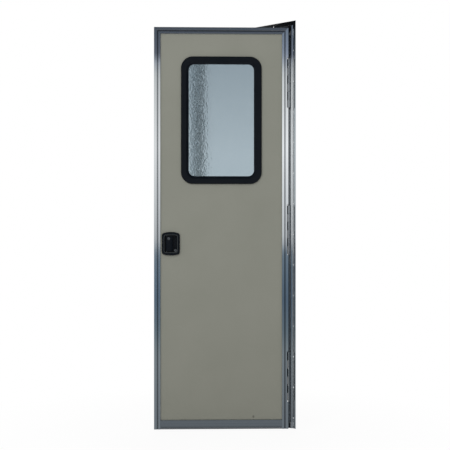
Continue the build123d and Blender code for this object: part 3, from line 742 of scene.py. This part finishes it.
# Screws of the inner window ring, down its sides and along its ends
ringScrews = {
    "radius": 0.0036,
    "proud": 0.0016,
    "fromEdge": 0.0125,
    "sideShares": (-0.36, 0.0, 0.36),
    "endShares": (-0.25, 0.25),
}


def ringScrewPlaces():
    look = ringScrews
    low, high = shutBox("inner_window_ring")
    middle = (low + high) / 2
    width, height = high.x - low.x, high.z - low.z
    spots = []
    for side in (-1, 1):
        for share in look["sideShares"]:
            spots.append((middle.x + side * (width / 2 - look["fromEdge"]), middle.z + share * height))
        for share in look["endShares"]:
            spots.append((middle.x + share * width, middle.z + side * (height / 2 - look["fromEdge"])))
    for x, z in spots:
        yield leafOpen @ facing((x, high.y, z), (0, 1, 0))


addScrewSet("inner_ring_screws", ringScrews, ringScrewPlaces(), lockPlastic, "door")

# Four screws in the inside plate, near its corners
plateScrews = {"radius": 0.0035, "proud": 0.0014, "fromSide": 0.010, "fromEnd": 0.012}


def plateScrewPlaces():
    low, high = shutBox("inside_plate")
    for x in (low.x + plateScrews["fromSide"], high.x - plateScrews["fromSide"]):
        for z in (low.z + plateScrews["fromEnd"], high.z - plateScrews["fromEnd"]):
            yield leafOpen @ facing((x, high.y, z), (0, 1, 0))


addScrewSet("inside_plate_screws", plateScrews, plateScrewPlaces(), zincLeaf, "door")

# Two screws in the faceplate and two in the strike, near their ends
boltScrews = {"radius": 0.0034, "proud": 0.0007, "fromEnd": 0.009}


def boltScrewPlaces(low, high, outward):  # outward is -1 or 1, along X
    face = high.x if outward > 0 else low.x
    for z in (low.z + boltScrews["fromEnd"], high.z - boltScrews["fromEnd"]):
        yield facing((face, (low.y + high.y) / 2, z), (outward, 0, 0))


places = [leafOpen @ place for place in boltScrewPlaces(*shutBox("lock_faceplate"), -1)]
addScrewSet("faceplate_screws", boltScrews, places, zincLeaf, "door")
places = boltScrewPlaces(*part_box("strike_plate"), 1)
addScrewSet("strike_screws", boltScrews, places, zincFrame, "frame")
print("ring and plate screws set")

# Camera: level with the middle of the leaf, looking almost square at it
camera = {
    "azimuth": 42.37,
    "elevation": 0.05,
    "distance": 4.5934,
    "height": 0.915,
    "lens": 80.0,
    "sensor": 36.0,
    "shift": (0.0082, 0.0101),
}
glassLow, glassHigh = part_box("window_glass")
aim = (glassLow + glassHigh) / 2
aim.z = camera["height"]


def around(azimuth, elevation, distance):  # a point seen from the aim at these angles
    side, up = math.radians(azimuth), math.radians(elevation)
    away = Vector((math.sin(side) * math.cos(up), -math.cos(side) * math.cos(up), math.sin(up)))
    return aim + distance * away


cameraData = bpy.data.cameras.new("camera")
cameraData.lens = camera["lens"]
cameraData.sensor_width = camera["sensor"]
cameraData.shift_x, cameraData.shift_y = camera["shift"]
cameraObject = bpy.data.objects.new("camera", cameraData)
bpy.context.scene.collection.objects.link(cameraObject)
cameraObject.location = around(camera["azimuth"], camera["elevation"], camera["distance"])
cameraObject.rotation_euler = (aim - cameraObject.location).to_track_quat("-Z", "Y").to_euler()
bpy.context.scene.camera = cameraObject

# Lamps: two softboxes level with the top half of the door and two fills from above, in front and behind
lamps = {
    "key softbox": {"azimuth": 45.6, "distance": 4.7, "middle": 1.6, "size": (2.4, 1.7), "radiance": 1.25},
    "side softbox": {"azimuth": -42.4, "distance": 3.6, "middle": 1.5, "size": (2.4, 1.5), "radiance": 0.4},
    "front fill": {"azimuth": 20.0, "distance": 4.6, "middle": 3.6, "size": (3.2, 3.2), "radiance": 3.3},
    "back fill": {"azimuth": 215.0, "distance": 4.6, "middle": 4.0, "size": (3.2, 3.2), "radiance": 3.0},
}
for name, look in lamps.items():
    width, height = look["size"]
    lampData = bpy.data.lights.new(name, "AREA")
    lampData.shape = "RECTANGLE"
    lampData.size, lampData.size_y = width, height
    lampData.energy = look["radiance"] * math.pi * width * height
    lamp = bpy.data.objects.new(name, lampData)
    bpy.context.scene.collection.objects.link(lamp)
    lamp.location = around(look["azimuth"], 0, look["distance"])
    lamp.location.z = look["middle"]
    lamp.rotation_euler = (aim - lamp.location).to_track_quat("-Z", "Y").to_euler()
    # Not seen or mirrored: metal and glass show the studio below instead
    lamp.visible_camera = lamp.visible_glossy = lamp.visible_transmission = False
print("camera and lamps set")

# Studio: white to the camera and plain light to matte faces. Metal and glass mirror a dim blue-grey room
# instead, with a softbox in front of the leaf, a pale floor below it and white behind it
studio = {
    "ambient": 0.55,
    "front": 45.0,  # azimuth of the softbox, square to the leaf
    "leftSpan": (0.3, 0.9),  # how far a direction leans to a side, from none of that side to all of it
    "rightSpan": (0.20, 0.36),
    "frontSpan": (-0.15, 0.1),
    # radiance by the sine of the elevation: in front of the leaf, at its left, at its right and behind it
    "frontRise": [
        (-1.0, (0.52, 0.53, 0.54)),
        (-0.32, (0.50, 0.51, 0.53)),
        (-0.21, (0.14, 0.16, 0.18)),
        (-0.18, (0.16, 0.18, 0.20)),
        (-0.122, (0.20, 0.23, 0.25)),
        (-0.105, (0.13, 0.17, 0.20)),
        (-0.07, (0.09, 0.13, 0.18)),
        (-0.022, (0.15, 0.20, 0.25)),
        (-0.012, (0.56, 0.58, 0.60)),
        (0.03, (0.72, 0.74, 0.76)),
        (0.08, (0.93, 0.94, 0.95)),
        (0.15, (0.69, 0.71, 0.72)),
        (0.16, (0.55, 0.58, 0.61)),
        (0.168, (0.25, 0.29, 0.38)),
        (0.205, (0.15, 0.19, 0.24)),
        (0.214, (0.03, 0.04, 0.06)),
        (1.0, (0.03, 0.04, 0.05)),
    ],
    "leftRise": [
        (-1.0, (0.44, 0.45, 0.46)),
        (-0.32, (0.42, 0.43, 0.44)),
        (-0.21, (0.10, 0.11, 0.12)),
        (-0.122, (0.14, 0.16, 0.17)),
        (-0.105, (0.06, 0.08, 0.09)),
        (-0.022, (0.06, 0.07, 0.09)),
        (-0.012, (0.28, 0.30, 0.32)),
        (0.08, (0.41, 0.45, 0.47)),
        (0.16, (0.28, 0.31, 0.33)),
        (0.168, (0.05, 0.06, 0.07)),
        (0.195, (0.005, 0.007, 0.009)),
        (1.0, (0.005, 0.007, 0.009)),
    ],
    "rightRise": [
        (-1.0, (0.44, 0.45, 0.46)),
        (-0.32, (0.42, 0.43, 0.44)),
        (-0.21, (0.012, 0.015, 0.018)),
        (-0.020, (0.014, 0.018, 0.022)),
        (-0.010, (0.035, 0.043, 0.048)),
        (0.160, (0.035, 0.043, 0.048)),
        (0.170, (0.010, 0.013, 0.016)),
        (1.0, (0.010, 0.013, 0.016)),
    ],
    "backRise": [
        (-1.0, (1.0, 1.0, 1.0)),
        (0.30, (1.0, 1.0, 1.0)),
        (0.42, (0.40, 0.41, 0.42)),
        (0.55, (0.05, 0.05, 0.05)),
        (1.0, (0.02, 0.02, 0.02)),
    ],
}
world = bpy.data.worlds.new("studio")
bpy.context.scene.world = world
world.use_nodes = True
tree = world.node_tree
tree.nodes.clear()
sky = addNode(tree, "TexCoord").outputs["Generated"]
rise = addRange(tree, addAxis(tree, sky, "Z"), 0.0, 1.0, (-1.0, 1.0))
rooms = {}
for side in ("frontRise", "leftRise", "rightRise", "backRise"):
    rooms[side] = addRamp(tree, rise, [((height + 1) / 2, colour) for height, colour in studio[side]])


def towards(azimuth):  # how much a direction points to an azimuth
    dot = addNode(tree, "VectorMath", operation="DOT_PRODUCT")
    dot.inputs[1].default_value = (math.sin(math.radians(azimuth)), -math.cos(math.radians(azimuth)), 0)
    tree.links.new(sky, dot.inputs[0])
    return dot.outputs["Value"]


leftward = addRange(tree, towards(studio["front"] - 90), 0.0, 1.0, studio["leftSpan"])
rightward = addRange(tree, towards(studio["front"] + 90), 0.0, 1.0, studio["rightSpan"])
forward = addRange(tree, towards(studio["front"]), 0.0, 1.0, studio["frontSpan"])
ahead = addMix(tree, leftward, rooms["frontRise"], rooms["leftRise"])
ahead = addMix(tree, rightward, ahead, rooms["rightRise"])
mirrored = addMix(tree, forward, rooms["backRise"], ahead)
lightPath = addNode(tree, "LightPath")
glossy, through = lightPath.outputs["Is Glossy Ray"], lightPath.outputs["Is Transmission Ray"]
bentRay = addMath(tree, "MAXIMUM", glossy, through)
backgrounds = {}
for name, strength in (("ambient", studio["ambient"]), ("mirrored", 1.0), ("white", 1.0)):
    backgrounds[name] = addNode(tree, "Background")
    backgrounds[name].inputs["Color"].default_value = (1, 1, 1, 1)
    backgrounds[name].inputs["Strength"].default_value = strength
tree.links.new(mirrored, backgrounds["mirrored"].inputs["Color"])
firstMix, lastMix = addNode(tree, "MixShader"), addNode(tree, "MixShader")
tree.links.new(bentRay, firstMix.inputs["Fac"])
tree.links.new(backgrounds["ambient"].outputs[0], firstMix.inputs[1])
tree.links.new(backgrounds["mirrored"].outputs[0], firstMix.inputs[2])
tree.links.new(lightPath.outputs["Is Camera Ray"], lastMix.inputs["Fac"])
tree.links.new(firstMix.outputs[0], lastMix.inputs[1])
tree.links.new(backgrounds["white"].outputs[0], lastMix.inputs[2])
tree.links.new(lastMix.outputs[0], addNode(tree, "OutputWorld").inputs["Surface"])

# Floor: a pale round that keeps the shadow and runs out into the white
floor = {
    "drop": 0.006,
    "radius": 2.4,
    "segments": 96,
    "pale": (0.80, 0.80, 0.80),
    "rough": 0.9,
    "nearWhite": 0.93,  # share of plain white inside the shadow's reach
    "shadowReach": 0.5,
    "whiteFrom": 1.3,
}
floorMiddle = Vector((aim.x, aim.y, cadBox[0].z - floor["drop"]))
bm = bmesh.new()
bmesh.ops.create_circle(
    bm,
    cap_ends=True,
    segments=floor["segments"],
    radius=floor["radius"],
    matrix=Matrix.Translation(floorMiddle),
)
mesh = bpy.data.meshes.new("floor")
bm.to_mesh(mesh)
bm.free()
floorObject = bpy.data.objects.new("floor", mesh)
bpy.context.scene.collection.objects.link(floorObject)
material, tree, shader = startMaterial("pale floor")
shader.inputs["Roughness"].default_value = floor["rough"]
shader.inputs["Specular IOR Level"].default_value = 0.0
shader.inputs["Base Color"].default_value = (*floor["pale"], 1)
distance = addNode(tree, "VectorMath", operation="LENGTH")
tree.links.new(placedVector(tree, False, middle=floorMiddle), distance.inputs[0])
fadeSpan = (floor["shadowReach"], floor["whiteFrom"])
fade = addRange(tree, distance.outputs["Value"], floor["nearWhite"], 1.0, fadeSpan)
white = addNode(tree, "Emission")
path = addNode(tree, "LightPath")
seen = addMath(tree, "MULTIPLY", path.outputs["Is Camera Ray"], fade)
blend = addNode(tree, "MixShader")
tree.links.new(seen, blend.inputs["Fac"])
tree.links.new(shader.outputs["BSDF"], blend.inputs[1])
tree.links.new(white.outputs["Emission"], blend.inputs[2])
tree.links.new(blend.outputs[0], tree.nodes["Material Output"].inputs["Surface"])
mesh.materials.append(material)
floorObject.visible_glossy = False
print("studio and floor set")

bpy.context.scene.view_settings.view_transform = "Standard"
